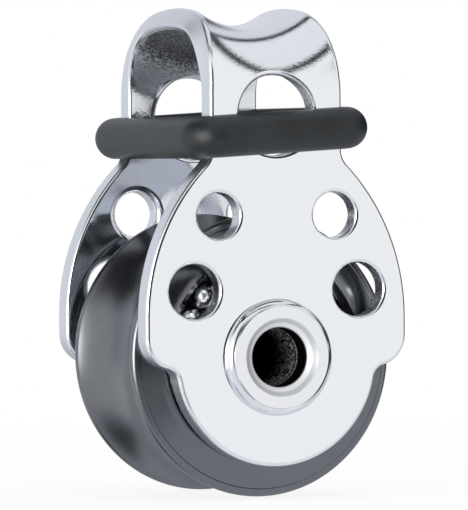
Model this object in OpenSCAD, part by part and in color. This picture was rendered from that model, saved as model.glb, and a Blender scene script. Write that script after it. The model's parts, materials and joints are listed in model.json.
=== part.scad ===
/* [Strap sheet] */
// width over both cheeks
strap_w = 12.9; // [12:0.1:14]
// thickness of the bent sheet
sheet_t = 1.35; // [1:0.05:1.6]

/* [Cheek outline] */
// half width at the shoulders
cheek_hw = 8; // [7.4:0.1:8.8]
// height where the flank starts to curve in
shoulder_z = 2.2; // [1.5:0.1:3]
// radius of the long flank curve
flank_r = 12; // [11:0.1:13]
// radius of the lower shoulder corner
corner_r = 1.75; // [1.3:0.05:2.2]
// height of the corner's centre
corner_z = 1.15; // [0.8:0.05:1.5]
// radius of the round lobe below the axle
lobe_r = 6.15; // [5.8:0.05:6.4]
// hollow radius between corner and lobe
hollow_r = 0.8; // [0.5:0.05:1.2]
// hollow radius where the flank meets the neck
neck_r = 1.2; // [0.8:0.05:1.6]

/* [Cheek holes] */
// upper hole diameter
upper_hole_d = 3; // [2.6:0.05:3.3]
// upper hole distance from the middle
upper_hole_x = 3.6; // [3.2:0.05:4]
// upper hole height
upper_hole_z = 8; // [7.5:0.05:8.4]
// lower hole diameter
lower_hole_d = 3.5; // [3:0.05:3.8]
// lower hole distance from the middle
lower_hole_x = 5.1; // [4.9:0.05:5.4]
// lower hole height
lower_hole_z = 3.8; // [3.5:0.05:4.2]

/* [Head] */
// width of the neck and head
head_w = 8.1; // [7.4:0.02:8.4]
// height of the saddle's lowest line
crest_z = 18.72; // [18.3:0.02:19.2]
// radius of the saddle dip across the head
saddle_r = 5.7; // [5.2:0.05:6.5]
// outside radius of the two bends
bend_r = 4.4; // [4:0.1:4.8]
// radius that draws the head's edges in towards the top
edge_r = 9; // [8:0.1:10]
// height where the head's edges start to draw in
edge_z = 16.3; // [15.8:0.1:16.8]
// radius of the crown between the bends
crown_r = 18; // [14:0.5:24]
// diameter of the window through both sides of the head
window_d = 4.7; // [4:0.05:5]
// height of the window's centre
window_z = 13.58; // [13.3:0.02:13.8]

/* [Hollow axle] */
// outside diameter of the tube
axle_d = 4.9; // [4.4:0.05:5.3]
// through bore diameter
axle_bore_d = 3.3; // [2.8:0.05:3.6]
// flange diameter
flange_d = 6.6; // [6.2:0.05:7.2]
// flange thickness
flange_t = 0.62; // [0.55:0.01:0.9]
// rounding of the flange rim
flange_round = 0.45; // [0.3:0.05:0.5]
// rounding of the bore's mouth
mouth_round = 0.5; // [0.35:0.05:0.6]
// radial play of the tube in the cheeks and the inner race
axle_play = 0.03; // [0.02:0.01:0.08]

/* [Ball bearing] */
// ball diameter, one sixteenth of an inch
ball_d = 1.588; // [1.5:0.004:1.7]
// balls in each row
balls_per_row = 18; // [17:1:18]
// play between neighbouring balls
ball_gap = 0.075; // [0.04:0.005:0.12]
// play between ball and race
race_play = 0.05; // [0.03:0.01:0.08]
// distance from cheek to the row's middle
row_inset = 1.2; // [1.05:0.05:1.5]
// turn of the front row at rest
front_row_phase = 15.2; // [0:0.1:20]
// turn of the rear row at rest
rear_row_phase = 5; // [0:0.1:20]
// how far each race shoulder stops from the pitch circle
shoulder_step = 0.3; // [0.25:0.01:0.4]

/* [Sheave] */
// outside diameter
sheave_d = 16; // [15.8:0.1:17]
// depth of the line groove
groove_depth = 1.5; // [1.2:0.05:1.6]
// rounding of the rim
lip_r = 0.35; // [0.25:0.05:0.45]
// distance from the boss face to the rim's crown
lip_inset = 0.8; // [0.7:0.05:1.2]
// wall of the boss around the outer race
boss_wall = 0.65; // [0.5:0.05:0.8]
// play between boss and cheek
side_gap = 0.35; // [0.25:0.05:0.5]

/* [Keeper ring] */
// height of the rubber section
ring_h = 2.3; // [2:0.05:2.5]
// depth of the flattened inner part
ring_flat = 0.3; // [0.2:0.05:0.5]
// play between ring and neck
ring_play = 0.12; // [0.1:0.01:0.2]
// height of the ring's middle above the neck's foot
ring_rise = 0.98; // [0.95:0.01:1.4]
// slant of the ring, right side up
ring_tilt = 3.4; // [0:0.1:4]

/* [Hidden] */
$fn = 96;
strap_h = strap_w / 2;
inner_h = strap_h - sheet_t;
head_hw = head_w / 2;
past = 1;
// arcs that would only touch cross by this much
bite = 0.01;

// flank and neck
flank_c = [cheek_hw - flank_r, shoulder_z];
neck_cx = head_hw + neck_r - bite;
neck_z = shoulder_z + sqrt(pow(flank_r + neck_r - bite, 2) - pow(neck_cx - flank_c[0], 2));
neck_c = [neck_cx, neck_z];
neck_in = flank_c + (flank_r - past) * (neck_c - flank_c) / (flank_r + neck_r);

// corner hollow, touching corner and lobe
corner_c = [cheek_hw - corner_r, corner_z];
to_corner = corner_r + hollow_r - bite;
to_lobe = lobe_r + hollow_r - bite;
corner_far = norm(corner_c);
hollow_turn = acos((corner_far * corner_far + to_lobe * to_lobe - to_corner * to_corner)
    / (2 * corner_far * to_lobe));
hollow_way = atan2(corner_c[1], corner_c[0]) - hollow_turn;
hollow_c = to_lobe * [cos(hollow_way), sin(hollow_way)];

// head, measured from the saddle's axis
saddle_z = crest_z + saddle_r;
crown_far = saddle_r + crown_r;
bend_y = strap_h - bend_r;
bend_far = crown_far - sqrt(pow(crown_r - bend_r, 2) - bend_y * bend_y);
saddle_half_angle = 60;
edge_steps = 4;
edge_rise = crest_z + saddle_r / 2 - edge_z;
leg_far = saddle_z + lobe_r + past;

// axle
axle_r = axle_d / 2;
bore_r = axle_bore_d / 2;
flange_r = flange_d / 2;
axle_end = strap_h + flange_t;
axle_hole_r = axle_r + axle_play;

// bearing
ball_r = ball_d / 2;
row_y = inner_h - row_inset;
pitch_r = (ball_d + ball_gap) / (2 * sin(180 / balls_per_row));
race_r = ball_r + race_play;
race_bite = 0.02;
inner_race_r = pitch_r - race_r + race_bite;
outer_race_r = pitch_r + race_r - race_bite;
inner_shoulder_r = pitch_r - shoulder_step;
outer_shoulder_r = pitch_r + shoulder_step;

// sheave
rim_r = sheave_d / 2;
root_r = rim_r - groove_depth;
boss_y = inner_h - side_gap;
boss_r = outer_race_r + boss_wall;
lip_y = boss_y - lip_inset;
lip_c = [rim_r - lip_r, lip_y];
lip_rise = lip_c[0] - root_r;
groove_bite = 0.03;
groove_r = (lip_rise * lip_rise + lip_y * lip_y - lip_r * lip_r) / (2 * groove_depth);
groove_c = [root_r + groove_r, 0];
// the groove side's point lies just past the rim's round, the flank's point inside it
lip_reach = 1.3 * lip_r;
lip_in = lip_c + lip_reach * (groove_c - lip_c) / norm(groove_c - lip_c);
flank_meets = [0.5, 0.6];
lip_side = lip_c + lip_r * flank_meets;

// keeper ring
ring_z = neck_z + ring_rise;

function two(i) = i < 10 ? str("0", i) : str(i);
function front_ball(i) = str("front_ball_", two(i));
function rear_ball(i) = str("rear_ball_", two(i));
ball_list = [1 : balls_per_row];

// a shape drawn in x and z, given thickness along y and ending at y
module upright(y, thick) {
    translate([0, y, 0]) rotate([90, 0, 0]) linear_extrude(thick) children();
}

// a profile drawn as radius and length, turned about the axle line
module turned() {
    rotate([90, 0, 0]) rotate_extrude() children();
}

module both_sides() {
    children();
    mirror([1, 0]) children();
}

module cross_hole(x, z, d) {
    translate([x, 0, z]) rotate([90, 0, 0]) cylinder(d = d, h = strap_w + 2 * past, center = true);
}

module cheek_outline() {
    intersection() {
        translate(flank_c) circle(flank_r);
        translate([-flank_c[0], flank_c[1]]) circle(flank_r);
        translate([-cheek_hw, shoulder_z - bite]) square([2 * cheek_hw, neck_z - shoulder_z]);
    }
    translate([-cheek_hw, corner_z]) square([2 * cheek_hw, shoulder_z - corner_z]);
    translate([-corner_c[0], 0]) square([2 * corner_c[0], shoulder_z]);
    circle(lobe_r);
    both_sides() {
        translate(corner_c) circle(corner_r);
        difference() {
            polygon([[0, 0], hollow_c, corner_c]);
            translate(hollow_c) circle(hollow_r);
        }
        difference() {
            polygon([[0, neck_z], [0, neck_in[1]], neck_in, neck_c]);
            translate(neck_c) circle(neck_r);
        }
    }
}

// everything under the arch, in distance from the saddle's axis and y
module arch_region(inset, foot) {
    bend_c = [bend_far, bend_y];
    way = (bend_c - [crown_far, 0]) / norm(bend_c - [crown_far, 0]);
    far = crown_r + bend_r;
    intersection() {
        translate([crown_far + bite, 0]) circle(crown_r - inset);
        polygon([
            [crown_far, 0],
            [crown_far + far * way[0], far * way[1]],
            [crown_far + far * way[0], -far * way[1]]
        ]);
    }
    for (side = [-1, 1]) translate([bend_far, side * bend_y]) circle(bend_r - inset);
    translate([bend_far, inset - strap_h]) square([foot - bend_far, 2 * (strap_h - inset)]);
}

// the bent sheet with both legs, before its outline is cut
module saddle() {
    translate([0, 0, saddle_z])
        rotate([90, 0, 0])
        rotate([0, 0, -90 - saddle_half_angle])
        rotate_extrude(angle = 2 * saddle_half_angle)
        difference() {
            arch_region(0, leg_far);
            arch_region(sheet_t, leg_far + crown_r);
        }
}

// neck and head seen from the front: straight sides, then edges drawn in along an arc
module head_outline() {
    side = [for (i = [0 : edge_steps]) let (rise = i * edge_rise / edge_steps)
        [head_hw - edge_r + sqrt(edge_r * edge_r - rise * rise), edge_z + rise]];
    polygon(concat(
        [[-head_hw, neck_in[1]], [head_hw, neck_in[1]]],
        side,
        [for (i = [0 : edge_steps]) let (p = side[edge_steps - i]) [-p[0], p[1]]]
    ));
}

module strap() color([0.82, 0.83, 0.84]) {
    difference() {
        intersection() {
            saddle();
            upright(strap_h + past, strap_w + 2 * past) {
                cheek_outline();
                head_outline();
            }
        }
        cross_hole(0, 0, 2 * axle_hole_r);
        cross_hole(0, window_z, window_d);
        for (side = [-1, 1]) {
            cross_hole(side * upper_hole_x, upper_hole_z, upper_hole_d);
            cross_hole(side * lower_hole_x, lower_hole_z, lower_hole_d);
        }
    }
}

// one flange with a rounded rim and a rounded mouth
module flange_profile() {
    translate([bore_r, strap_h]) square([flange_r - bore_r, flange_t - mouth_round]);
    translate([bore_r + mouth_round, strap_h])
        square([flange_r - flange_round - bore_r - mouth_round, flange_t]);
    translate([bore_r + mouth_round, strap_h])
        square([flange_r - bore_r - mouth_round, flange_t - flange_round]);
    intersection() {
        translate([bore_r + mouth_round, axle_end - mouth_round]) circle(mouth_round);
        translate([bore_r, axle_end - mouth_round]) square(mouth_round);
    }
    intersection() {
        translate([flange_r - flange_round, axle_end - flange_round]) circle(flange_round);
        translate([flange_r - flange_round, axle_end - flange_round]) square(flange_round);
    }
}

module axle() color([0.75, 0.76, 0.77]) {
    turned() {
        translate([bore_r, -strap_h]) square([axle_r - bore_r, strap_w]);
        flange_profile();
        mirror([0, 1]) flange_profile();
    }
}

module ball_paths() {
    for (side = [-1, 1]) translate([pitch_r, side * row_y]) circle(race_r);
}

module inner_race() color([0.6, 0.61, 0.63]) {
    turned() difference() {
        translate([axle_hole_r, 0]) polygon([
            [0, -inner_h],
            [inner_race_r - axle_hole_r, -inner_h],
            [inner_race_r - axle_hole_r, -row_y],
            [inner_shoulder_r - axle_hole_r, -row_y],
            [inner_shoulder_r - axle_hole_r, row_y],
            [inner_race_r - axle_hole_r, row_y],
            [inner_race_r - axle_hole_r, inner_h],
            [0, inner_h]
        ]);
        ball_paths();
    }
}

module sheave_half() {
    polygon([
        [outer_shoulder_r, 0],
        [outer_shoulder_r, row_y],
        [outer_race_r, row_y],
        [outer_race_r, boss_y],
        [boss_r, boss_y],
        lip_side,
        lip_c,
        lip_in,
        [root_r + groove_bite, 0]
    ]);
}

module sheave() color([0.12, 0.12, 0.13]) {
    difference() {
        union() {
            turned() {
                sheave_half();
                mirror([0, 1]) sheave_half();
            }
            turned() translate(lip_c) circle(lip_r);
            turned() mirror([0, 1]) translate(lip_c) circle(lip_r);
        }
        turned() translate(groove_c) circle(groove_r + groove_bite);
        turned() ball_paths();
    }
}

module ball(i, y, phase) color([0.85, 0.86, 0.88]) {
    turn = phase + i * 360 / balls_per_row;
    translate([pitch_r * cos(turn), y, pitch_r * sin(turn)]) sphere(ball_r);
}

// the ring's section, outward along x from the corner line
module ring_section() {
    intersection() {
        translate([ring_play + ring_flat, 0]) circle(ring_h / 2);
        translate([ring_play, -ring_h]) square([ring_h + ring_flat, 2 * ring_h]);
    }
}

module keeper_ring() color([0.16, 0.17, 0.18]) {
    translate([0, 0, ring_z]) rotate([0, -ring_tilt, 0]) {
        for (turn = [0, 180]) rotate([0, 0, turn]) {
            translate([head_hw, strap_h, 0]) rotate([90, 0, 0]) linear_extrude(strap_w) ring_section();
            translate([head_hw, strap_h, 0]) rotate_extrude(angle = 90) ring_section();
            translate([-head_hw, strap_h, 0]) rotate([0, 0, 90]) rotate_extrude(angle = 90) ring_section();
            translate([-head_hw, strap_h, 0]) rotate([0, 0, 90]) rotate([90, 0, 0])
                linear_extrude(head_w) ring_section();
        }
    }
}

strap();
axle();
inner_race();
sheave();
keeper_ring();
for (i = ball_list) {
    ball(i, -row_y, front_row_phase);
    ball(i, row_y, rear_row_phase);
}
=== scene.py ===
import json
import math

import bpy
import numpy as np
from mathutils import Matrix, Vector
from mathutils.geometry import delaunay_2d_cdt


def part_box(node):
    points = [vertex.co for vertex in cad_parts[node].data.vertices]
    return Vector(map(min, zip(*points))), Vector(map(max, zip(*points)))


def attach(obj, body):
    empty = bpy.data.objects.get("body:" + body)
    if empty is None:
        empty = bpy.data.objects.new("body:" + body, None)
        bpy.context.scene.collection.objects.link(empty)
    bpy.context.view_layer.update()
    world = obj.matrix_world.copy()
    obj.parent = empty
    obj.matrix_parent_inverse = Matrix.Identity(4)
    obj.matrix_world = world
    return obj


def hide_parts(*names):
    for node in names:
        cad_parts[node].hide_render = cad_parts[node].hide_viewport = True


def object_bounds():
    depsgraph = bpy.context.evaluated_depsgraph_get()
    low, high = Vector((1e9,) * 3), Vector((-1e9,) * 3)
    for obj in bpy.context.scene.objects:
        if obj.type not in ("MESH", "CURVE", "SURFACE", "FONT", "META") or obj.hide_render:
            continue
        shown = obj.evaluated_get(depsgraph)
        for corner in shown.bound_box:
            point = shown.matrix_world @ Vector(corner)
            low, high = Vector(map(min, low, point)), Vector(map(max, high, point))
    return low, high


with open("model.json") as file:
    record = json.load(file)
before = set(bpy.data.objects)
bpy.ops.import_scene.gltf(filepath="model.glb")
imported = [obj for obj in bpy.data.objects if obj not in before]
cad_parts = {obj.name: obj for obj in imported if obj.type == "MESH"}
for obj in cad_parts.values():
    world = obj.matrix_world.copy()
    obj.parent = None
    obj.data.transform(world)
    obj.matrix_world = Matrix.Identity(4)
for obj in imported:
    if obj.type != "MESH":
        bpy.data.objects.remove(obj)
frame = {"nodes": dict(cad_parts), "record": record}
cadBox = [list(corner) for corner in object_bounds()]
mm = 0.001
print("frame loaded:", len(frame["nodes"]), "nodes")


# mesh helpers

# quads between neighbouring rows and columns of a grid, closed round where asked
def gridFaces(rows, cols, closeRows=False, closeCols=False, start=0):
    i, j = np.meshgrid(
        np.arange(rows if closeRows else rows - 1),
        np.arange(cols if closeCols else cols - 1),
        indexing="ij",
    )
    below = (i + 1) % rows
    beside = (j + 1) % cols
    corners = [i * cols + j, below * cols + j, below * cols + beside, i * cols + beside]
    return np.stack(corners, -1).reshape(-1, 4) + start


# signed volume of a closed shape: a sixth of the sum of corner triple products
def signedVolume(points, faces):
    total = 0.0
    for face in faces:
        first = points[face[:, 0]]
        for corner in range(1, face.shape[1] - 1):
            crossed = np.cross(points[face[:, corner]], points[face[:, corner + 1]])
            total += np.einsum("ij,ij->", first, crossed) / 6
    return total


# faces turned round where they look away from the exact normals of their corners
def facedOut(points, face, normals):
    looks = np.cross(points[face[:, 1]] - points[face[:, 0]], points[face[:, 2]] - points[face[:, 0]])
    away = np.einsum("ij,ij->i", looks, normals[face].sum(1)) < 0
    return np.where(away[:, None], face[:, ::-1], face)


# points in mm and lists of face arrays become one piece in metres, facing outwards
def makePiece(name, points, faces, normals=None, values=None, sharpDeg=40):
    if normals is not None:
        faces = [facedOut(points, face, normals) for face in faces]
    elif signedVolume(points, faces) < 0:
        faces = [face[:, ::-1] for face in faces]
    mesh = bpy.data.meshes.new(name)
    mesh.from_pydata((points * mm).tolist(), [], [corners for face in faces for corners in face.tolist()])
    mesh.polygons.foreach_set("use_smooth", np.ones(len(mesh.polygons), bool))
    for key, value in (values or {}).items():
        mesh.attributes.new(key, "FLOAT", "POINT").data.foreach_set("value", value.astype(np.float32))
    if normals is None:
        mesh.set_sharp_from_angle(angle=math.radians(sharpDeg))
    else:
        mesh.normals_split_custom_set_from_vertices(normals.tolist())
    mesh.update()
    piece = bpy.data.objects.new(name, mesh)
    bpy.context.scene.collection.objects.link(piece)
    return piece


# body, CAD nodes, slot and finish of a new piece
def fitPiece(piece, body, nodes, finish):
    piece.data.materials.append(finish)
    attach(piece, body)
    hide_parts(*nodes)


# points on an arc, from one angle to another in degrees
def arc(center, radius, start, end, spacing):
    count = max(3, int(abs(math.radians(end - start)) * radius / spacing) + 2)
    turn = np.radians(np.linspace(start, end, count))
    return np.stack([center[0] + radius * np.cos(turn), center[1] + radius * np.sin(turn)], -1)


# even points on a line
def straight(start, end, spacing):
    count = max(2, int(math.dist(start, end) / spacing) + 2)
    return np.linspace(start, end, count)


# stretches joined end to end, without the doubled ends
def joined(*stretches):
    return np.concatenate([stretches[0]] + [part[1:] for part in stretches[1:]])


# a closed profile of radius and length turned round the axle line
def turnedPiece(name, profile, turns, sharpDeg=40):
    around = np.linspace(0, 2 * np.pi, turns, endpoint=False)
    radius, length = profile[:, 0:1], profile[:, 1:2]
    grid = np.stack(np.broadcast_arrays(radius * np.cos(around), length, radius * np.sin(around)), -1)
    faces = gridFaces(len(profile), turns, True, True)
    return makePiece(name, grid.reshape(-1, 3), [faces], sharpDeg=sharpDeg)


# shader helpers

# a socket that takes part in Python arithmetic, each operator adding a Math node
class Val:
    def __init__(self, tree, socket=None):
        self.tree = tree
        self.socket = socket

    # any node: its type, its settings, then the values or links of its inputs
    def node(self, kind, settings=None, inputs=None, out=0):
        made = self.tree.nodes.new(kind)
        for key, value in (settings or {}).items():
            if key == "stops":
                self.setStops(made.color_ramp, value)
            else:
                setattr(made, key, value)
        for key, value in (inputs or {}).items():
            self.feed(self.pick(made.inputs, key), value)
        return Val(self.tree, self.pick(made.outputs, out))

    def setStops(self, ramp, stops):
        while len(ramp.elements) < len(stops):
            ramp.elements.new(0.5)
        for element, (place, grey) in zip(ramp.elements, stops):
            element.position = place
            element.color = (grey, grey, grey, 1)

    # a socket by its number, its identifier or its name
    def pick(self, sockets, key):
        if isinstance(key, int):
            return sockets[key]
        named = [socket for socket in sockets if socket.identifier == key]
        return named[0] if named else sockets[key]

    def feed(self, socket, value):
        if isinstance(value, Val):
            self.tree.links.new(value.socket, socket)
        else:
            socket.default_value = value

    def math(self, operation, first, second=0.0):
        return self.node("ShaderNodeMath", {"operation": operation}, {0: first, 1: second})

    def __add__(self, other):
        return self.math("ADD", self, other)

    def __radd__(self, other):
        return self.math("ADD", other, self)

    def __sub__(self, other):
        return self.math("SUBTRACT", self, other)

    def __rsub__(self, other):
        return self.math("SUBTRACT", other, self)

    def __mul__(self, other):
        return self.math("MULTIPLY", self, other)

    def __rmul__(self, other):
        return self.math("MULTIPLY", other, self)

    def __truediv__(self, other):
        return self.math("DIVIDE", self, other)

    def __abs__(self):
        return self.math("ABSOLUTE", self)

    # 0 at low and 1 at high, with a soft start and end
    def smooth(self, low, high):
        settings = {"interpolation_type": "SMOOTHSTEP", "clamp": True}
        return self.node("ShaderNodeMapRange", settings, {"Value": self, "From Min": low, "From Max": high})

    # 1 past the first soft step and before the second
    def between(self, rise, fall):
        return self.smooth(*rise) * (1 - self.smooth(*fall))

    # the first colour where the value is 0, the second where it is 1
    def blend(self, first, second):
        inputs = {"Factor_Float": self, "A_Color": first, "B_Color": second}
        return self.node("ShaderNodeMix", {"data_type": "RGBA"}, inputs, "Result_Color")


# a material with one Principled shader: fixed sockets first, then what changes over the surface
def newFinish(name, fixed):
    material = bpy.data.materials.new(name)
    material.use_nodes = True
    shader = material.node_tree.nodes["Principled BSDF"]
    for key, value in fixed.items():
        shader.inputs[key].default_value = value
    start = Val(material.node_tree)
    place = start.node("ShaderNodeTexCoord", out="Object")
    return material, shader, start, place


# noise with its largest grains about sizeMm wide
def noise(start, place, sizeMm, detail=2.0, roughness=0.5):
    inputs = {"Vector": place, "Scale": 1000 / sizeMm, "Detail": detail, "Roughness": roughness}
    return start.node("ShaderNodeTexNoise", {}, inputs, "Fac")


# a height from 0 to 1, over a depth in mm, as a surface normal
def bumped(start, height, depthMm):
    inputs = {"Height": height, "Distance": depthMm * mm, "Strength": 1.0}
    return start.node("ShaderNodeBump", {}, inputs, "Normal")


# distance from the axle line in mm, for marks left by turning
def turnRadius(start, place):
    x = start.node("ShaderNodeSeparateXYZ", {}, {"Vector": place}, "X")
    z = start.node("ShaderNodeSeparateXYZ", {}, {"Vector": place}, "Z")
    return start.math("SQRT", x * x + z * z) * 1000


# fine rings left by a turning tool, as noise along the radius
def turnMarks(start, radius, sizeMm):
    inputs = {"W": radius, "Scale": 1 / sizeMm, "Detail": 2.0}
    return start.node("ShaderNodeTexNoise", {"noise_dimensions": "1D"}, inputs, "Fac")


# finishes

polishedSheetLook = {
    "colour": (0.855, 0.868, 0.895, 1),
    # painted shade: the inner faces' colour, darker between the cheeks
    "within": (0.73, 0.745, 0.78, 1),
    # painted shade: darker still under the top of the arch
    "crown": (0.26, 0.267, 0.283, 1),
    # painted shade: dark specks over the orange peel inside the head
    "pitShade": (0.09, 0.092, 0.099, 1),
    "pitGrain": (0.6, 0.42),
    "pitPeel": (0.6, 3.0),
    "crownPeel": (2.2, 3.0),
    "roughness": 0.05,
    "smear": 0.05,
    "smearSize": 2.4,
    "smearEdge": (0.45, 0.75),
    "cutRoughness": 0.22,
    "peelRoughness": 0.26,
    "peelSize": 0.15,
    "peelDepth": 0.030,
    "grainSize": 0.06,
    "cutGrain": 0.25,
    "flatGrain": 0.004,
}


# mirror sheet, dull on its cut edges; its inner faces are painted darker as shade between the cheeks,
# darker still under the top of the arch, and pitted inside the head, where the bend stretched it, the pits
# painted as dark specks of shade
def polishedSheet():
    look = polishedSheetLook
    material, shader, start, place = newFinish("polished_sheet", {"Metallic": 1.0})
    within = start.node("ShaderNodeAttribute", {"attribute_name": "within"}, {}, "Fac")
    peel = start.node("ShaderNodeAttribute", {"attribute_name": "peel"}, {}, "Fac")
    cut = start.node("ShaderNodeAttribute", {"attribute_name": "cut"}, {}, "Fac")
    wiped = noise(start, place, look["smearSize"], 3.0)
    orange = noise(start, place, look["peelSize"], 3.0, 0.6)
    # painted shade: dark specks over the orange peel on the inner faces inside the head
    pitShadeMask = orange.smooth(*look["pitGrain"]) * within * peel.smooth(*look["pitPeel"])
    # painted shade: the inner face darkens to the crown colour under the top of the arch
    inner = peel.smooth(*look["crownPeel"]).blend(look["within"], look["crown"])
    sheet = within.blend(look["colour"], inner)
    start.feed(shader.inputs["Base Color"], pitShadeMask.blend(sheet, look["pitShade"]))
    grain = noise(start, place, look["grainSize"], 2.0)
    rough = look["roughness"] + look["smear"] * wiped.smooth(*look["smearEdge"])
    rough = rough + look["cutRoughness"] * cut + look["peelRoughness"] * peel
    start.feed(shader.inputs["Roughness"], rough)
    height = orange * peel + grain * (cut * look["cutGrain"] + look["flatGrain"])
    start.feed(shader.inputs["Normal"], bumped(start, height, look["peelDepth"]))
    return material


# pairs named Edge, Start or End are soft steps, in mm of radius or of length along the axle
axleMetalLook = {
    "colour": (0.84, 0.85, 0.875, 1),
    # painted shade: the mouth colour, grey on the sloped mouth
    "mouth": (0.56, 0.57, 0.595, 1),
    # the bore colours are painted: near black as shade deep inside, lighter as painted light towards the
    # ends, streaked by a stretched noise; the band and edge values place and scale that painted light
    "boreShade": (0.003, 0.003, 0.003, 1),
    "boreLight": (0.6, 0.62, 0.65, 1),
    "boreEdge": (1.66, 1.74),
    "mouthStart": (1.9, 2.0),
    "mouthEnd": (2.12, 2.24),
    "streakLightSize": 0.15,
    "streakLightStretch": (1, 0.45, 1),
    "streakLightGrain": (0.4, 0.66),
    "bandStart": (2.2, 4.4),
    "bandEnd": (5.0, 5.3),
    "bandLight": 0.9,
    "edgeStart": (5.3, 5.38),
    "edgeEnd": (5.46, 5.56),
    "edgeLight": 0.2,
    "edgeStreakLight": 0.7,
    "roughness": 0.1,
    "mottleSize": 0.2,
    "mottleRough": 0.06,
    "mouthRough": 0.36,
    "mouthDull": 0.45,
    "ringSize": 0.09,
    "ringHeight": 0.3,
    "mottleHeight": 0.2,
    "boreHeight": 4.0,
    "depth": 0.004,
}


# bright turned ends, the sloped mouth painted grey as shade, and a dull bore painted near black as shade
# deep inside, with streaky painted light towards its ends
def axleMetal():
    look = axleMetalLook
    material, shader, start, place = newFinish("axle_metal", {"Specular IOR Level": 0.0})
    radius = turnRadius(start, place)
    rings = turnMarks(start, radius, look["ringSize"])
    mottle = noise(start, place, look["mottleSize"], 3.0, 0.6)
    inBore = 1 - radius.smooth(*look["boreEdge"])
    length = abs(start.node("ShaderNodeSeparateXYZ", {}, {"Vector": place}, "Y")) * 1000
    stretch = {0: place, 1: look["streakLightStretch"]}
    drawn = start.node("ShaderNodeVectorMath", {"operation": "MULTIPLY"}, stretch, "Vector")
    # painted light in the bore: streaks on a band towards each end and on a thin ring near the mouth, over
    # painted shade
    grain = noise(start, drawn, look["streakLightSize"], 4.0, 0.7).smooth(*look["streakLightGrain"])
    band = length.between(look["bandStart"], look["bandEnd"])
    edge = length.between(look["edgeStart"], look["edgeEnd"])
    paintedBoreLight = grain * look["bandLight"] * band + (look["edgeLight"] + look["edgeStreakLight"] * grain) * edge
    bore = paintedBoreLight.blend(look["boreShade"], look["boreLight"])
    inMouth = 1 - radius.smooth(*look["mouthEnd"])
    # painted shade: grey on the sloped mouth, between the bore's round edge and the flat ring
    slope = radius.smooth(*look["mouthStart"]) * inMouth
    turned = slope.blend(look["colour"], look["mouth"])
    start.feed(shader.inputs["Base Color"], inBore.blend(turned, bore))
    start.feed(shader.inputs["Metallic"], (1 - inBore) * (1 - look["mouthDull"] * inMouth))
    rough = look["roughness"] + look["mottleRough"] * mottle + look["mouthRough"] * inMouth
    start.feed(shader.inputs["Roughness"], rough)
    height = rings * look["ringHeight"] + mottle * (look["mottleHeight"] + inBore * look["boreHeight"])
    start.feed(shader.inputs["Normal"], bumped(start, height, look["depth"]))
    return material


raceMetalLook = {"colour": (0.6, 0.61, 0.63, 1), "roughness": 0.2, "mottleSize": 0.2, "mottleRough": 0.15}


# ground sleeve, a little uneven in its shine
def raceMetal():
    look = raceMetalLook
    fixed = {"Base Color": look["colour"], "Metallic": 1.0}
    material, shader, start, place = newFinish("race_metal", fixed)
    mottle = noise(start, place, look["mottleSize"], 2.0)
    start.feed(shader.inputs["Roughness"], look["roughness"] + look["mottleRough"] * mottle)
    return material


ballSteelLook = {
    "colour": (0.88, 0.885, 0.9, 1),
    "roughness": 0.22,
    "filmSize": 0.5,
    "filmEdge": (0.4, 0.8),
    "filmRough": 0.08,
}


# polished balls with a thin film of grease
def ballSteel():
    look = ballSteelLook
    fixed = {"Base Color": look["colour"], "Metallic": 1.0}
    material, shader, start, place = newFinish("ball_steel", fixed)
    film = noise(start, place, look["filmSize"], 2.0).smooth(*look["filmEdge"])
    start.feed(shader.inputs["Roughness"], look["roughness"] + look["filmRough"] * film)
    return material


blackAnodisedLook = {
    "low": (0.142, 0.148, 0.161, 1),
    "high": (0.165, 0.172, 0.187, 1),
    "cloudSize": 1.2,
    "cloudShare": 0.4,
    "grainSize": 0.05,
    "grainShare": 0.6,
    "toneEdge": (0.35, 0.65),
    "roughness": 0.2,
    "cloudRough": 0.04,
    "grainRough": 0.05,
    "coat": 0.7,
    "coatRough": 0.22,
    "turnSize": 0.07,
    "turnHeight": 0.4,
    "grainHeight": 0.6,
    "depth": 0.003,
}


# dark turned metal under a thin clear coat
def blackAnodised():
    look = blackAnodisedLook
    fixed = {"Metallic": 1.0, "Coat Weight": look["coat"], "Coat Roughness": look["coatRough"]}
    material, shader, start, place = newFinish("black_anodised", fixed)
    turning = turnMarks(start, turnRadius(start, place), look["turnSize"])
    cloud = noise(start, place, look["cloudSize"], 4.0)
    grain = noise(start, place, look["grainSize"], 2.0)
    tone = (cloud * look["cloudShare"] + grain * look["grainShare"]).smooth(*look["toneEdge"])
    start.feed(shader.inputs["Base Color"], tone.blend(look["low"], look["high"]))
    rough = look["roughness"] + look["cloudRough"] * cloud + look["grainRough"] * grain
    start.feed(shader.inputs["Roughness"], rough)
    height = turning * look["turnHeight"] + grain * look["grainHeight"]
    start.feed(shader.inputs["Normal"], bumped(start, height, look["depth"]))
    return material


blackRubberLook = {
    "low": (0.002, 0.0035, 0.0045, 1),
    "high": (0.012, 0.016, 0.019, 1),
    "specular": 0.55,
    "bloomSize": 1.8,
    "bloomShare": 0.5,
    "speckSize": 0.13,
    "speckShare": 0.5,
    "toneEdge": (0.35, 0.65),
    "roughness": 0.36,
    "speckRough": 0.12,
    "depth": 0.02,
}


# matt rubber with fine specks and a faint bloom
def blackRubber():
    look = blackRubberLook
    material, shader, start, place = newFinish("black_rubber", {"Specular IOR Level": look["specular"]})
    bloom = noise(start, place, look["bloomSize"], 3.0)
    speck = noise(start, place, look["speckSize"], 3.0, 0.6)
    tone = (bloom * look["bloomShare"] + speck * look["speckShare"]).smooth(*look["toneEdge"])
    start.feed(shader.inputs["Base Color"], tone.blend(look["low"], look["high"]))
    start.feed(shader.inputs["Roughness"], look["roughness"] + look["speckRough"] * speck)
    start.feed(shader.inputs["Normal"], bumped(start, speck, look["depth"]))
    return material


finishes = {
    "polished_sheet": polishedSheet(),
    "axle_metal": axleMetal(),
    "race_metal": raceMetal(),
    "ball_steel": ballSteel(),
    "black_anodised": blackAnodised(),
    "black_rubber": blackRubber(),
}
print("finishes made:", len(finishes))


# strap: one sheet, cut flat, bent over the head and pressed to a saddle

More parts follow.
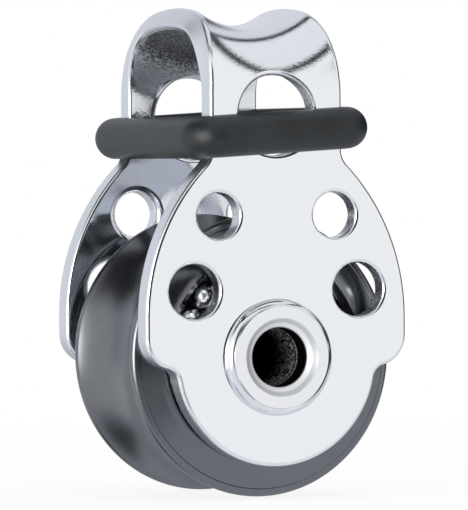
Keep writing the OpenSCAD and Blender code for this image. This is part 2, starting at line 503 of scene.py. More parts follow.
strapSize = {
    "width": 12.9,
    "sheet": 1.35,
    "cheekHalf": 8.0,
    "shoulderZ": 2.2,
    "flankR": 12.0,
    "cornerR": 1.75,
    "cornerZ": 1.15,
    "lobeR": 6.15,
    "hollowR": 0.8,
    "neckR": 1.2,
    "headHalf": 4.05,
    "edgeR": 13.0,
    "edgeZ": 16.3,
    "crestZ": 18.72,
    "saddleR": 5.7,
    "bendR": 4.4,
    "crownR": 18.0,
    "windowR": 2.28,
    "windowZ": 13.58,
    "upperHole": (3.57, 7.95, 1.28),  # x, z and radius
    "lowerHole": (5.04, 3.74, 1.52),
    "axleHoleR": 2.48,
    "outerRound": 0.23,
    "innerRound": 0.2,
    "holeRound": 0.42,
    "rimSteps": 9,
    "edgeStep": 0.16,
    "headStep": 0.2,
    "flatStep": 0.9,
    "outerPeel": (0.01, 0.2),  # on the flats and on the head
    "innerPeel": (0.12, 3.0),
    "formedPast": 0.6,
    "outerFade": 0.9,
    "innerFade": 5.2,
    "rimPeel": 0.25,
    "gridGap": 0.6,
    "settleSteps": 30,
}
halfSheet = strapSize["sheet"] / 2
saddleZ = strapSize["crestZ"] + strapSize["saddleR"]
crownFar = strapSize["saddleR"] + strapSize["crownR"]
bendY = strapSize["width"] / 2 - strapSize["bendR"]
crownTurn = math.asin(bendY / (strapSize["crownR"] - strapSize["bendR"]))
bendFar = crownFar - math.sqrt((strapSize["crownR"] - strapSize["bendR"]) ** 2 - bendY ** 2)
crownMid = strapSize["crownR"] - halfSheet
bendMid = strapSize["bendR"] - halfSheet
crownEnd = crownMid * crownTurn
bendEnd = crownEnd + bendMid * (math.pi / 2 - crownTurn)


# turn of the sheet's normal about X at each length along the strap:
# steadily along the crown, faster round a bend, then held at a right angle
def sheetTurn(length):
    away = np.abs(length)
    turn = np.where(away < crownEnd, away / crownMid, crownTurn + (away - crownEnd) / bendMid)
    return np.sign(length) * np.minimum(turn, np.pi / 2)


# the arch in distance from the saddle's axis and y, lifted off the sheet's middle
def archProfile(length, lift):
    turn = sheetTurn(length)
    away = np.abs(length)
    side = np.sign(length)
    onCrown = away < crownEnd
    center = np.where(onCrown, crownFar, bendFar)
    radius = np.where(onCrown, crownMid, bendMid) + lift
    far = center - radius * np.cos(turn) + np.maximum(away - bendEnd, 0)
    y = np.where(onCrown, 0, side * bendY) + radius * np.sin(turn)
    return far, y, turn


# forming map: the arch profile swung about the saddle's axis by the angle psi
def formed(psi, length, lift):
    far, y, turn = archProfile(length, lift)
    points = np.stack([far * np.sin(psi), y, saddleZ - far * np.cos(psi)], -1)
    up = np.cos(turn)
    normals = np.stack([-up * np.sin(psi), np.sin(turn), up * np.cos(psi)], -1)
    return points, normals


# the two directions in the sheet: across the strap and along it
def sheetDirections(psi, length):
    turn = sheetTurn(length)
    across = np.stack([np.cos(psi), np.zeros_like(psi), np.sin(psi)], -1)
    along = np.stack([np.sin(turn) * np.sin(psi), np.cos(turn), -np.sin(turn) * np.cos(psi)], -1)
    return across, along


# flat place of a point seen from the front on the lifted surface of one side
def flatPlace(x, z, side, lift):
    far = np.hypot(x, saddleZ - z)
    bent = np.arccos(np.clip((bendFar - far) / (bendMid + lift), 0, 1))
    length = np.where(far > bendFar, bendEnd + far - bendFar, crownEnd + (bent - crownTurn) * bendMid)
    return np.arctan2(x, saddleZ - z), side * length


# right side of a cheek from the foot of the lobe to the neck, arcs that touch each other
def cheekSide():
    wide = strapSize["cheekHalf"]
    corner = np.array([wide - strapSize["cornerR"], strapSize["cornerZ"]])
    toCorner = strapSize["cornerR"] + strapSize["hollowR"]
    toLobe = strapSize["lobeR"] + strapSize["hollowR"]
    far = np.hypot(*corner)
    swing = math.degrees(math.acos((far ** 2 + toLobe ** 2 - toCorner ** 2) / (2 * far * toLobe)))
    lobeTurn = math.degrees(math.atan2(corner[1], corner[0])) - swing
    hollow = toLobe * np.array([math.cos(math.radians(lobeTurn)), math.sin(math.radians(lobeTurn))])
    cornerTurn = math.degrees(math.atan2(corner[1] - hollow[1], corner[0] - hollow[0]))
    flank = np.array([wide - strapSize["flankR"], strapSize["shoulderZ"]])
    neckX = strapSize["headHalf"] + strapSize["neckR"]
    rise = math.sqrt((strapSize["flankR"] + strapSize["neckR"]) ** 2 - (neckX - flank[0]) ** 2)
    neck = np.array([neckX, strapSize["shoulderZ"] + rise])
    flankTurn = math.degrees(math.atan2(rise, neckX - flank[0]))
    step = strapSize["edgeStep"]
    return joined(
        arc((0, 0), strapSize["lobeR"], -90, lobeTurn, step),
        arc(hollow, strapSize["hollowR"], lobeTurn + 180, cornerTurn, step / 2),
        arc(corner, strapSize["cornerR"], cornerTurn - 180, 0, step),
        straight((wide, strapSize["cornerZ"]), (wide, strapSize["shoulderZ"]), step),
        arc(flank, strapSize["flankR"], 0, flankTurn, step),
        arc(neck, strapSize["neckR"], flankTurn + 180, 180, step / 2),
    )


# right edge of the head: straight up, then drawn in along an arc of the front view,
# found by a few passes because the height depends on the place across
def headEdge(length):
    far = archProfile(length, 0)[0]
    x = np.full_like(length, strapSize["headHalf"])
    for _ in range(strapSize["settleSteps"]):
        rise = np.maximum(saddleZ - np.sqrt(far ** 2 - x ** 2) - strapSize["edgeZ"], 0)
        x = strapSize["headHalf"] - strapSize["edgeR"] + np.sqrt(strapSize["edgeR"] ** 2 - rise ** 2)
    return np.arcsin(x / far)


# the whole cut outline as flat places: up the front cheek, over the head, down the rear one and back
def cutOutline():
    side = cheekSide()
    psi, length = flatPlace(side[:, 0], side[:, 1], 1, 0)
    over = np.linspace(-length[-1], length[-1], int(2 * length[-1] / strapSize["edgeStep"]))[1:-1]
    right = np.concatenate([psi, headEdge(over), psi[::-1]])
    run = np.concatenate([-length, over, length[::-1]])
    return np.concatenate([right, -right[-2:0:-1]]), np.concatenate([run, run[-2:0:-1]])


# a round hole bored straight through, as flat places on the lifted surface
def boredHole(x, z, radius, side, lift):
    count = int(2 * np.pi * radius / strapSize["edgeStep"])
    turn = np.linspace(0, 2 * np.pi, count, endpoint=False)
    return flatPlace(x + radius * np.cos(turn), z + radius * np.sin(turn), side, lift)


# all the cut edges: the outline, then on each side the window, the axle hole and the lightening holes
def strapLoops(lift):
    loops = [cutOutline()]
    for side in (-1, 1):
        loops.append(boredHole(0, strapSize["windowZ"], strapSize["windowR"], side, lift))
        loops.append(boredHole(0, 0, strapSize["axleHoleR"], side, lift))
        for mirror in (-1, 1):
            for x, z, radius in (strapSize["upperHole"], strapSize["lowerHole"]):
                loops.append(boredHole(mirror * x, z, radius, side, lift))
    return loops


# unit direction out of the sheet's edge, square to the loop and to the sheet's normal
def edgeDirection(points, normals, outline):
    run = np.roll(points, -1, 0) - np.roll(points, 1, 0)
    out = np.cross(run, normals)
    out /= np.linalg.norm(out, axis=1, keepdims=True)
    wanted = np.array([0, 0, -1.0]) if outline else points.mean(0) - points[0]
    return out if out[0] @ wanted > 0 else -out


# the loop moved in from the edge by the rounding, with its points, normals and edge directions
def insetLoop(loop, lift, rounding, outline):
    psi, length = loop
    points, normals = formed(psi, length, lift)
    out = edgeDirection(points, normals, outline)
    across, along = sheetDirections(psi, length)
    far = archProfile(length, lift)[0]
    psi = psi - rounding * np.einsum("ij,ij->i", out, across) / far
    length = length - rounding * np.einsum("ij,ij->i", out, along)
    points, normals = formed(psi, length, lift)
    return psi, length, points, normals, edgeDirection(points, normals, outline)


# even-odd test of points against a closed loop
def inside(points, loop):
    ahead = np.roll(loop, -1, 0)
    x, y = points[:, 0:1], points[:, 1:2]
    spans = (loop[:, 1] > y) != (ahead[:, 1] > y)
    drop = np.where(ahead[:, 1] == loop[:, 1], 1e-9, ahead[:, 1] - loop[:, 1])
    cross = loop[:, 0] + (y - loop[:, 1]) / drop * (ahead[:, 0] - loop[:, 0])
    return (spans & (x < cross)).sum(1) % 2 == 1


# grid points inside the cut sheet: close on the head, wide apart on the flats
def sheetGrid(loops2d):
    edge = np.concatenate(loops2d).astype(np.float32)
    reach = np.abs(loops2d[0]).max(0)
    headEnd = bendEnd + strapSize["flatStep"]
    found = []
    zones = ((strapSize["headStep"], 0, headEnd), (strapSize["flatStep"], headEnd, reach[1]))
    for step, low, high in zones:
        x, run = np.meshgrid(np.arange(-reach[0], reach[0], step), np.arange(-high, high, step))
        grid = np.stack([x.ravel(), run.ravel()], -1)
        grid = grid[np.abs(grid[:, 1]) >= low]
        held = inside(grid, loops2d[0])
        for loop in loops2d[1:]:
            held &= ~inside(grid, loop)
        grid = grid[held]
        gap = np.hypot(grid[:, 0:1] - edge[:, 0], grid[:, 1:2] - edge[:, 1]).min(1)
        found.append(grid[gap > strapSize["gridGap"] * step])
    return np.concatenate(found)


# triangles of one face of the sheet, with the loops as fixed edges
def sheetTriangles(loops2d, grid):
    flat = np.concatenate(loops2d + [grid])
    edges, start = [], 0
    for loop in loops2d:
        index = np.arange(len(loop)) + start
        edges.append(np.stack([index, np.roll(index, -1)], -1))
        start += len(loop)
    made = delaunay_2d_cdt(flat.tolist(), np.concatenate(edges).tolist(), [], 0, 1e-9)
    source = np.array([ids[0] for ids in made[3]])
    triangles = source[np.array(made[2])]
    center = flat[triangles].mean(1)
    kept = inside(center, loops2d[0])
    for loop in loops2d[1:]:
        kept &= ~inside(center, loop)
    return triangles[kept]


# rounded rim round one loop: a quarter turn off each face, joined by the straight cut
def rimGrid(outerLoop, innerLoop, innerRound):
    turn = np.linspace(0, np.pi / 2, strapSize["rimSteps"])
    sine, cosine = np.sin(turn)[None, :, None], np.cos(turn)[None, :, None]
    outerAt, outerUp, outerOut = (part[:, None] for part in outerLoop[2:])
    innerAt, innerUp, innerOut = (part[:, None] for part in innerLoop[2:])
    outerTurn = cosine * outerUp + sine * outerOut
    innerTurn = (sine * innerOut - cosine * innerUp)[:, ::-1]
    points = np.concatenate([
        outerAt + strapSize["outerRound"] * (outerTurn - outerUp),
        innerAt + innerRound * (innerTurn + innerUp),
    ], 1)
    cut = np.concatenate([np.sin(turn), np.sin(turn)[::-1]]) ** 2
    # share of the inner faces' painted shade across the rim
    within = np.concatenate([np.zeros_like(turn), np.cos(turn)[::-1]])
    normals = np.concatenate([outerTurn, innerTurn], 1)
    return points, normals, np.tile(cut, len(points)), np.tile(within, len(points))


# how far the sheet was formed at each length: 1 on the head, falling to 0 on the flat cheeks
def formedShare(length, fade):
    share = np.clip((bendEnd + strapSize["formedPast"] - np.abs(length)) / fade, 0, 1)
    return share * share * (3 - 2 * share)


# both faces of the sheet as grids through the forming map, joined by a rounded rim on every cut edge
def buildStrap():
    outerLoops, innerLoops = strapLoops(halfSheet), strapLoops(-halfSheet)
    rounds = [strapSize["innerRound"]] + [strapSize["holeRound"]] * (len(innerLoops) - 1)
    outerRound = strapSize["outerRound"]
    outer = [insetLoop(loop, halfSheet, outerRound, i == 0) for i, loop in enumerate(outerLoops)]
    inner = [insetLoop(loop, -halfSheet, rounds[i], i == 0) for i, loop in enumerate(innerLoops)]
    points, normals, cuts, peels, withins, faces = [], [], [], [], [], []
    outerIndex, innerIndex, start = [], [], 0
    for outerLoop, innerLoop, innerRound in zip(outer, inner, rounds):
        at, up, cut, within = rimGrid(outerLoop, innerLoop, innerRound)
        count, across = at.shape[:2]
        points.append(at.reshape(-1, 3))
        normals.append(up.reshape(-1, 3))
        cuts.append(cut)
        withins.append(within)
        rimPeel = strapSize["rimPeel"] * formedShare(outerLoop[1], strapSize["outerFade"])
        peels.append(np.repeat(rimPeel, across))
        faces.append(gridFaces(count, across, True, False, start))
        outerIndex.append(np.arange(count) * across + start)
        innerIndex.append(np.arange(count) * across + across - 1 + start)
        start += count * across
    sheets = (
        (outer, outerIndex, halfSheet, strapSize["outerPeel"], strapSize["outerFade"]),
        (inner, innerIndex, -halfSheet, strapSize["innerPeel"], strapSize["innerFade"]),
    )
    for loops, index, lift, (flatPeel, headPeel), fade in sheets:
        flat = [np.stack([archProfile(run, 0)[0] * np.sin(psi), run], -1) for psi, run, *_ in loops]
        grid = sheetGrid(flat)
        psi = np.arcsin(grid[:, 0] / archProfile(grid[:, 1], 0)[0])
        at, up = formed(psi, grid[:, 1], lift)
        points.append(at)
        normals.append(up * np.sign(lift))
        cuts.append(np.zeros(len(grid)))
        withins.append(np.full(len(grid), float(lift < 0)))
        peels.append(flatPeel + (headPeel - flatPeel) * formedShare(grid[:, 1], fade))
        sheetIndex = np.concatenate(index + [np.arange(len(grid)) + start])
        faces.append(sheetIndex[sheetTriangles(flat, grid)])
        start += len(grid)
    values = {"cut": np.concatenate(cuts), "peel": np.concatenate(peels), "within": np.concatenate(withins)}
    return makePiece("strap_sheet", np.concatenate(points), faces, np.concatenate(normals), values)


strap = buildStrap()
fitPiece(strap, "frame", ["strap"], finishes["polished_sheet"])
print("strap formed:", len(strap.data.polygons), "faces")


# hollow axle: a tube with its ends rolled over a ring that bears on the cheek

axleSize = {
    "boreR": 1.65,
    "tubeR": 2.45,
    "cheekY": 6.45,
    "flangeR": 3.3,
    "flangeHeight": 0.62,
    "mouthR": 2.21,
    "mouthTurn": 34,
    "mouthRound": 0.3,
    "creaseR": 2.91,
    "creaseHalf": 0.06,
    "creaseDepth": 0.09,
    "ringRound": 0.6,
    "borePoints": 24,
    "spacing": 0.03,
    "turns": 160,
    "sharpDeg": 30,
}


# one end from the bore outwards: round edge, sloped mouth, flat ring, fine crease,
# round wall, then in to the tube
def axleEnd():
    size = axleSize
    top = size["cheekY"] + size["flangeHeight"]
    lean = math.radians(size["mouthTurn"])
    roundR = size["boreR"] + size["mouthRound"]
    slopeR = roundR - size["mouthRound"] * math.sin(lean)
    deep = (size["mouthR"] - slopeR) * math.tan(lean) + size["mouthRound"] * math.cos(lean)
    wall = (size["flangeR"] - size["ringRound"], top - size["ringRound"])
    past = math.degrees(math.acos((size["creaseR"] + size["creaseHalf"] - wall[0]) / size["ringRound"]))
    return np.concatenate([
        arc((roundR, top - deep), size["mouthRound"], 180, 90 + size["mouthTurn"], size["spacing"]),
        [(size["mouthR"], top)],
        [(size["creaseR"] - size["creaseHalf"], top), (size["creaseR"], top - size["creaseDepth"])],
        arc(wall, size["ringRound"], past, 0, size["spacing"]),
        [(size["flangeR"], size["cheekY"]), (size["tubeR"], size["cheekY"])],
    ])


# one end, the other mirrored, and the bore between them, turned
def buildAxle():
    end = axleEnd()
    far = end[::-1] * (1, -1)
    bore = np.linspace(far[-1], end[0], axleSize["borePoints"])[1:-1]
    section = np.concatenate([end, far, bore])
    return turnedPiece("hollow_axle", section, axleSize["turns"], axleSize["sharpDeg"])


axle = buildAxle()
fitPiece(axle, "frame", ["axle"], finishes["axle_metal"])
print("axle turned")


# inner race: a sleeve on the axle with a path for each row of balls

bearingSize = {
    "pitchR": 4.788,
    "rowY": 3.9,
    "pathR": 0.844,
    "sleeveR": 2.48,
    "sleeveY": 5.1,
    "innerR": 3.964,
    "outerR": 5.612,
    "shoulderStep": 0.3,
    "spacing": 0.06,
    "turns": 128,
    "sharpDeg": 30,
}


# half the section, with the ball path as an arc, then its mirror, turned
def buildRace():
    size = bearingSize
    low = math.degrees(math.acos((size["pitchR"] - size["innerR"]) / size["pathR"]))
    high = math.degrees(math.acos(size["shoulderStep"] / size["pathR"]))
    path = arc((size["pitchR"], size["rowY"]), size["pathR"], 180 - low, 180 + high, size["spacing"])
    half = np.concatenate([[(size["sleeveR"], size["sleeveY"]), (size["innerR"], size["sleeveY"])], path])
    section = np.concatenate([half, half[::-1] * (1, -1)])
    return turnedPiece("inner_race_sleeve", section, size["turns"], size["sharpDeg"])


race = buildRace()
fitPiece(race, "frame", ["inner_race"], finishes["race_metal"])
print("inner race turned")


# sheave: line groove, rounded rims, sloping sides and a boss that holds the outer races

sheaveSize = {
    "rimR": 7.95,
    "rootR": 6.5,
    "lipR": 0.35,
    "lipY": 3.95,
    "lipTurn": 72,
    "bandWidth": 0.19,
    "sideStep": 0.05,
    "bossR": 6.262,
    "bossY": 4.75,
    "bossRound": 0.12,
    "mouthR": 5.98,
    "mouthDepth": 0.4,
    "spacing": 0.05,
    "sideSpacing": 0.2,
    "turns": 240,
    "sharpDeg": 28,
}


# half the section from the groove's root over the rim and down the side to the race
def sheaveHalf():
    size, bearing = sheaveSize, bearingSize
    lip = np.array([size["rimR"] - size["lipR"], size["lipY"]])
    rise = lip[0] - size["rootR"]
    grooveR = (rise ** 2 + size["lipY"] ** 2 - size["lipR"] ** 2) / (2 * (size["rimR"] - size["rootR"]))
    groove = np.array([size["rootR"] + grooveR, 0])
    meet = math.degrees(math.atan2(lip[1], lip[0] - groove[0]))
    rim = arc(lip, size["lipR"], meet - 180, size["lipTurn"], size["spacing"] / 2)
    lean = math.radians(size["lipTurn"])
    band = rim[-1] + size["bandWidth"] * np.array([-math.sin(lean), math.cos(lean)])
    rim = np.concatenate([rim, [band]])
    boss = np.array([size["bossR"], size["bossY"]])
    slope = rim[-1] - (0, size["sideStep"]) - boss
    foot = boss + slope * (1 - size["sideStep"] / slope[0])
    side = straight(foot, boss + slope * (size["bossRound"] / slope[0]), size["sideSpacing"])
    path = math.degrees(math.acos((bearing["outerR"] - bearing["pitchR"]) / bearing["pathR"]))
    shoulder = math.degrees(math.acos(bearing["shoulderStep"] / bearing["pathR"]))
    return np.concatenate([
        arc(groove, grooveR, 180, meet, size["spacing"])[:-1],
        rim,
        side,
        [(size["bossR"] - size["bossRound"], size["bossY"]), (size["mouthR"], size["bossY"])],
        [(bearing["outerR"], size["bossY"] - size["mouthDepth"])],
        arc((bearing["pitchR"], bearing["rowY"]), bearing["pathR"], path, -shoulder, bearing["spacing"]),
    ])


# half the section, then its mirror, turned
def buildSheave():
    half = sheaveHalf()
    section = np.concatenate([half, half[:0:-1] * (1, -1)])
    return turnedPiece("sheave_wheel", section, sheaveSize["turns"], sheaveSize["sharpDeg"])


sheave = buildSheave()
fitPiece(sheave, "wheel", ["sheave"], finishes["black_anodised"])
print("sheave turned")


# bearing balls, one piece for each ball where the frame has it

ballSize = {"rings": 18, "turns": 32}


# a ball on a grid of height angle and turn, with single points at the poles
def buildBall(node):
    low, high = (np.array(corner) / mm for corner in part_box(node))
    rings, turns = ballSize["rings"], ballSize["turns"]
    lean = np.linspace(-np.pi / 2, np.pi / 2, rings + 2)[1:-1, None]
    turn = np.linspace(0, 2 * np.pi, turns, endpoint=False)
    shell = np.broadcast_arrays(np.cos(lean) * np.cos(turn), np.sin(lean), np.cos(lean) * np.sin(turn))
    unit = np.concatenate([np.stack(shell, -1).reshape(-1, 3), [(0, -1, 0), (0, 1, 0)]])
    first = np.arange(turns)
    after = np.roll(first, -1)
    last = (rings - 1) * turns
    foot = np.stack([first, after, np.full(turns, rings * turns)], -1)
    top = np.stack([first + last, after + last, np.full(turns, rings * turns + 1)], -1)
    points = (low + high) / 2 + unit * (high - low).max() / 2
    return makePiece(node + "_steel", points, [gridFaces(rings, turns, False, True), foot, top], unit)


for body, nodes in frame["record"]["behaviour"]["bodies"].items():
    if body.endswith("_balls"):
        for node in nodes:
            fitPiece(buildBall(node), body, [node], finishes["ball_steel"])
        print(body, "made:", len(nodes))


# keeper ring: a rubber band stretched round the neck

ringSize = {
    "headHalf": 4.05,
    "strapHalf": 6.45,
    "play": 0.12,
    "cornerIn": 0.5,
    "flat": 0.3,
    "height": 2.36,
    "blend": 0.12,
    "middleZ": 12.596,
    "tilt": 3.4,
    "sectionPoints": 48,
    "cornerPoints": 24,
    "sidePoints": 16,
    "sharpDeg": 60,
}


# a round section flattened against the neck, as distance out from the path and height
def ringSection():
    size = ringSize
    turn = np.linspace(0, 2 * np.pi, size["sectionPoints"], endpoint=False)
    out = size["play"] + size["flat"] + size["height"] / 2 * np.cos(turn)
    apart = out - size["play"]
    out = size["play"] + (apart + np.sqrt(apart ** 2 + size["blend"] ** 2)) / 2
    return out + size["cornerIn"], size["height"] / 2 * np.sin(turn)


# the way round, a little inside the neck: four straight sides,
# with the section swinging about each corner
def ringPath():
    size = ringSize
    half = (size["headHalf"] - size["cornerIn"], size["strapHalf"] - size["cornerIn"])
    corners = np.array([(1, -1), (1, 1), (-1, 1), (-1, -1)]) * half
    base, swing = [], []
    for i in range(4):
        turns = np.linspace(0, 90, size["cornerPoints"]) + 90 * (i - 1)
        base.append(np.tile(corners[i], (size["cornerPoints"], 1)))
        swing.append(turns)
        base.append(np.linspace(corners[i], corners[(i + 1) % 4], size["sidePoints"] + 2)[1:-1])
        swing.append(np.full(size["sidePoints"], turns[-1]))
    return np.concatenate(base), np.radians(np.concatenate(swing))


# the section carried along the path, then tilted about Y
def buildRing():
    size = ringSize
    out, height = ringSection()
    base, swing = ringPath()
    x = base[:, 0:1] + np.cos(swing)[:, None] * out
    y = base[:, 1:2] + np.sin(swing)[:, None] * out
    z = np.broadcast_to(height, x.shape)
    tilt = math.radians(size["tilt"])
    points = np.stack([
        x * math.cos(tilt) - z * math.sin(tilt),
        y,
        size["middleZ"] + x * math.sin(tilt) + z * math.cos(tilt),
    ], -1)
    faces = gridFaces(len(base), len(out), True, True)
    return makePiece("keeper_ring_rubber", points.reshape(-1, 3), [faces], sharpDeg=size["sharpDeg"])


ring = buildRing()
fitPiece(ring, "keeper", ["keeper_ring"], finishes["black_rubber"])
print("keeper ring made")


# camera at the photograph's angle, fitted to the outline of the block

cameraFit = {
    "azimuth": -24.184,
    "elevation": 0.957,
    "roll": -0.295,
    "axlePixel": (230.717, 353.707),
    "pixelsPerMm": 17.51,
    "distance": 320.0,
    "image": (468, 510),
    "sensor": 36.0,
    "clip": (0.01, 20),
}


# turned by its three angles, and moved square to the view until the axle's middle lands on its pixel
def buildCamera():
    fit = cameraFit
    azimuth, elevation, roll = (math.radians(fit[key]) for key in ("azimuth", "elevation", "roll"))
    back = np.array([
        math.sin(azimuth) * math.cos(elevation),
        -math.cos(azimuth) * math.cos(elevation),
        math.sin(elevation),
    ])
    level = np.array([math.cos(azimuth), math.sin(azimuth), 0])
    lift = np.cross(back, level)
    right = level * math.cos(roll) + lift * math.sin(roll)
    up = lift * math.cos(roll) - level * math.sin(roll)
    aside = (fit["axlePixel"][0] - fit["image"][0] / 2) / fit["pixelsPerMm"]
    above = (fit["image"][1] / 2 - fit["axlePixel"][1]) / fit["pixelsPerMm"]
    lens = bpy.data.cameras.new("photo_camera")
    lens.sensor_width = fit["sensor"]
    lens.lens = fit["pixelsPerMm"] * fit["distance"] * fit["sensor"] / max(fit["image"])
    lens.clip_start, lens.clip_end = fit["clip"]
    camera = bpy.data.objects.new("photo_camera", lens)
    camera.matrix_world = Matrix(np.column_stack([right, up, back]).tolist()).to_4x4()
    camera.location = (back * fit["distance"] - right * aside - up * above) * mm
    bpy.context.scene.collection.objects.link(camera)
    bpy.context.scene.camera = camera


buildCamera()
bpy.context.scene.view_settings.view_transform = "Standard"
print("camera set")


# stage: pale floor, soft lamps and a white studio

floorSize = {
    "half": 0.15,
    "below": 0.00002,
    "colour": (0.9, 0.9, 0.9, 1),
    "roughness": 0.9,
    "white": 0.88,
    "nearR": 30,
    "farR": 110,
}


# 1 for rays from the camera, from metal and through glass
def seenRay(start):
    camera = start.node("ShaderNodeLightPath", {}, {}, "Is Camera Ray")
    glossy = start.node("ShaderNodeLightPath", {}, {}, "Is Glossy Ray")
    through = start.node("ShaderNodeLightPath", {}, {}, "Is Transmission Ray")
    return start.math("MAXIMUM", start.math("MAXIMUM", camera, glossy), through)


# pale floor that shows nearly white to the camera, all white away from the block
def buildFloor():
    size = floorSize
    half = size["half"]
    z = cadBox[0][2] - size["below"]
    mesh = bpy.data.meshes.new("floor")
    corners = [(-half, -half, z), (half, -half, z), (half, half, z), (-half, half, z)]
    mesh.from_pydata(corners, [], [(0, 1, 2, 3)])
    floor = bpy.data.objects.new("floor", mesh)
    bpy.context.scene.collection.objects.link(floor)
    fixed = {"Base Color": size["colour"], "Roughness": size["roughness"]}
    material, shader, start, place = newFinish("floor_pale", fixed)
    x = start.node("ShaderNodeSeparateXYZ", {}, {"Vector": place}, "X")
    y = start.node("ShaderNodeSeparateXYZ", {}, {"Vector": place}, "Y")
    away = (start.math("SQRT", x * x + y * y) * 1000).smooth(size["nearR"], size["farR"])
    white = start.node("ShaderNodeEmission", {}, {"Color": (1, 1, 1, 1), "Strength": 1.0})
    matt = Val(material.node_tree, shader.outputs[0])
    share = seenRay(start) * (size["white"] + (1 - size["white"]) * away)
    shown = start.node("ShaderNodeMixShader", {}, {0: share, 1: matt, 2: white})
    start.feed(material.node_tree.nodes["Material Output"].inputs["Surface"], shown)
    mesh.materials.append(material)
    floor.visible_glossy = False


buildFloor()

studio = {
    "fill": 0.75,  # even light on matt surfaces
    # light box overhead, its edges as slopes off straight up, and the dark frame round it
    "boxFront": 0.48,
    "boxRight": 0.86,
    "boxLeft": 0.36,
    "boxBack": 0.46,
    "boxBackSlope": 0.27,
    "boxEdge": 0.02,
    "boxLight": 0.89,
    "leastRise": 0.12,
    "gap": 0.2,
    "gapEdge": 0.03,
    "gapLight": 0.01,
    # upper walls, which start higher in front
    "high": (0.35, 0.6),
    "frontRise": 0.1,
    "riseTurn": (-0.1, 0.1),
    "frontLight": 0.97,
    "backLight": 0.8,
    "frontTurn": (-0.3, 0.1),
    "leftLight": 0.05,
    "leftTurn": (0.0, 0.2),
    # panels at eye level: degrees from the camera to its right, with their light
    "round": (
        (-180, 0.78), (-104, 0.78), (-96, 1.0), (-16, 1.0), (-8, 0.03),
        (32, 0.03), (38, 0.97), (90, 0.97), (98, 0.03), (164, 0.03), (174, 0.78), (180, 0.78),
    ),
    # floor in front, behind and on the left, where it darkens near the block
    "low": (0.04, 0.24),
    "floorLight": 0.86,
    "floorBack": 0.6,
    "backTurn": (0.2, 0.5),
    "floorLeft": 0.15,
    "floorLeftDepth": (0.55, 0.8),
    "floorLeftTurn": (0.15, 0.35),
    # dark strip on the floor behind the block: how dark, its sides and its near end
    "behind": 0.92,
    "behindLeft": (-0.38, -0.3),
    "behindRight": (0.08, 0.16),
    "behindEnd": (0.24, 0.34),
    # dark ledge on the floor in front: how dark, its sides and its ends
    "ledge": 0.9,
    "ledgeLeft": (-0.12, -0.04),
    "ledgeRight": (0.17, 0.25),
    "ledgeFar": (0.2, 0.26),
    "ledgeNear": (0.4, 0.46),
    "ledgeTurn": (0.2, 0.5),
    # small bright lamp to the left, and the tints of dim and bright panels
    "glowWay": (-0.884, -0.465, 0.052),
    "glowCos": (0.94, 0.995),
    "glow": 8.0,
    "cool": (0.885, 0.925, 1.0, 1),
    "warm": (0.988, 0.994, 1.0, 1),
    "tintLight": (0.8, 0.97),
}


# how far a direction lies past the light box, in slopes off straight up, less than 0 inside it
def pastBox(start, right, front, z):
    above = start.math("MAXIMUM", z, studio["leastRise"])
    boxRight = right / above
    boxFront = front / above
    boxBack = studio["boxBack"] + studio["boxBackSlope"] * boxRight
    past = start.math("MAXIMUM", boxFront - studio["boxFront"], boxRight - studio["boxRight"])
    past = start.math("MAXIMUM", past, 0 - boxFront - boxBack)
    return start.math("MAXIMUM", past, 0 - boxRight - studio["boxLeft"])


# upper walls: from the back wall's light to the front one's, and dim on the left
def wallLight(right, front):
    share = front.smooth(*studio["frontTurn"])
    wall = studio["backLight"] + (studio["frontLight"] - studio["backLight"]) * share
    return wall + (studio["leftLight"] - wall) * (0 - right - abs(front)).smooth(*studio["leftTurn"])


# panels at eye level, by the turn from the camera
def roundLight(start, right, front):
    turn = start.math("ARCTAN2", right, front) / (2 * math.pi) + 0.5
    stops = [(place / 360 + 0.5, light) for place, light in studio["round"]]
    return start.node("ShaderNodeValToRGB", {"stops": stops}, {"Fac": turn}, "Color")


# floor: from the front's light to the back's, less the dark strip and ledge, with the left by itself
def groundLight(right, front, z):
    down = 0 - z
    back = (0 - front).smooth(*studio["backTurn"])
    ground = studio["floorLight"] + (studio["floorBack"] - studio["floorLight"]) * back
    behind = back * right.between(studio["behindLeft"], studio["behindRight"])
    behind = behind * (1 - down.smooth(*studio["behindEnd"]))
    ledge = down.between(studio["ledgeFar"], studio["ledgeNear"]) * front.smooth(*studio["ledgeTurn"])
    ledge = ledge * right.between(studio["ledgeLeft"], studio["ledgeRight"])
    ground = ground * (1 - studio["behind"] * behind) * (1 - studio["ledge"] * ledge)
    left = 1 + (studio["floorLeft"] - 1) * down.smooth(*studio["floorLeftDepth"])
    return ground + (left - ground) * (0 - right - abs(front)).smooth(*studio["floorLeftTurn"])


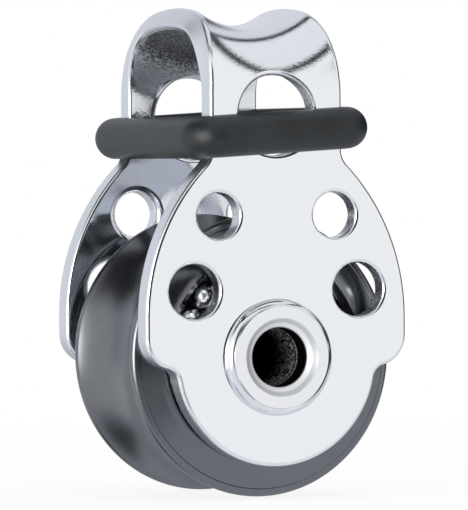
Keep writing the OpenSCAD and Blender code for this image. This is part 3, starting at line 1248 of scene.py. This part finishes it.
# a studio square with the camera, seen in metal, with even light on the rest and white to the camera
def buildWorld():
    world = bpy.data.worlds.new("studio")
    bpy.context.scene.world = world
    world.use_nodes = True
    tree = world.node_tree
    tree.nodes.clear()
    start = Val(tree)
    way = start.node("ShaderNodeTexCoord", out="Generated")
    x, y, z = (start.node("ShaderNodeSeparateXYZ", {}, {"Vector": way}, axis) for axis in "XYZ")
    azimuth = math.radians(cameraFit["azimuth"])
    right = x * math.cos(azimuth) + y * math.sin(azimuth)
    front = x * math.sin(azimuth) - y * math.cos(azimuth)
    past = pastBox(start, right, front, z)
    inBox = 1 - past.smooth(-studio["boxEdge"], studio["boxEdge"])
    gap = 1 - past.smooth(studio["gap"] - studio["gapEdge"], studio["gap"] + studio["gapEdge"])
    rise = studio["frontRise"] * front.smooth(*studio["riseTurn"])
    high = (z - rise).smooth(*studio["high"])
    low = (0 - z).smooth(*studio["low"])
    beyond = high * wallLight(right, front) + low * groundLight(right, front, z)
    beyond = beyond + (1 - high - low) * roundLight(start, right, front)
    outside = gap * studio["gapLight"] + (1 - gap) * beyond
    glowX, glowY, glowZ = studio["glowWay"]
    glow = (x * glowX + y * glowY + z * glowZ).smooth(*studio["glowCos"])
    light = inBox * studio["boxLight"] + (1 - inBox) * outside + studio["glow"] * glow
    tint = light.smooth(*studio["tintLight"]).blend(studio["cool"], studio["warm"])
    glossy = start.node("ShaderNodeLightPath", {}, {}, "Is Glossy Ray")
    panels = start.node("ShaderNodeBackground", {}, {"Color": tint, "Strength": light})
    fill = start.node("ShaderNodeBackground", {}, {"Color": (1, 1, 1, 1), "Strength": studio["fill"]})
    white = start.node("ShaderNodeBackground", {}, {"Color": (1, 1, 1, 1), "Strength": 1.0})
    lit = start.node("ShaderNodeMixShader", {}, {0: seenRay(start), 1: fill, 2: white})
    shown = start.node("ShaderNodeMixShader", {}, {0: glossy, 1: lit, 2: panels})
    start.feed(tree.nodes.new("ShaderNodeOutputWorld").inputs["Surface"], shown)


buildWorld()

lamps = {
    "overhead": {"at": (0.05, -0.05, 0.32), "size": 0.22, "power": 0.35},
    "key": {"at": (-0.265, -0.14, 0.016), "size": 0.09, "power": 0.45},
}


# square lamps turned to the block, kept out of the metal, which shows the studio
def buildLamp(name, at, size, power):
    lamp = bpy.data.lights.new(name, "AREA")
    lamp.size = size
    lamp.energy = power
    held = bpy.data.objects.new(name, lamp)
    back = np.array(at) / np.linalg.norm(at)
    side = np.cross((0, 0, 1), back)
    side /= np.linalg.norm(side)
    held.matrix_world = Matrix(np.column_stack([side, np.cross(back, side), back]).tolist()).to_4x4()
    held.location = at
    held.visible_glossy = False
    bpy.context.scene.collection.objects.link(held)


for name, lamp in lamps.items():
    buildLamp(name, **lamp)
print("stage and lamps set")
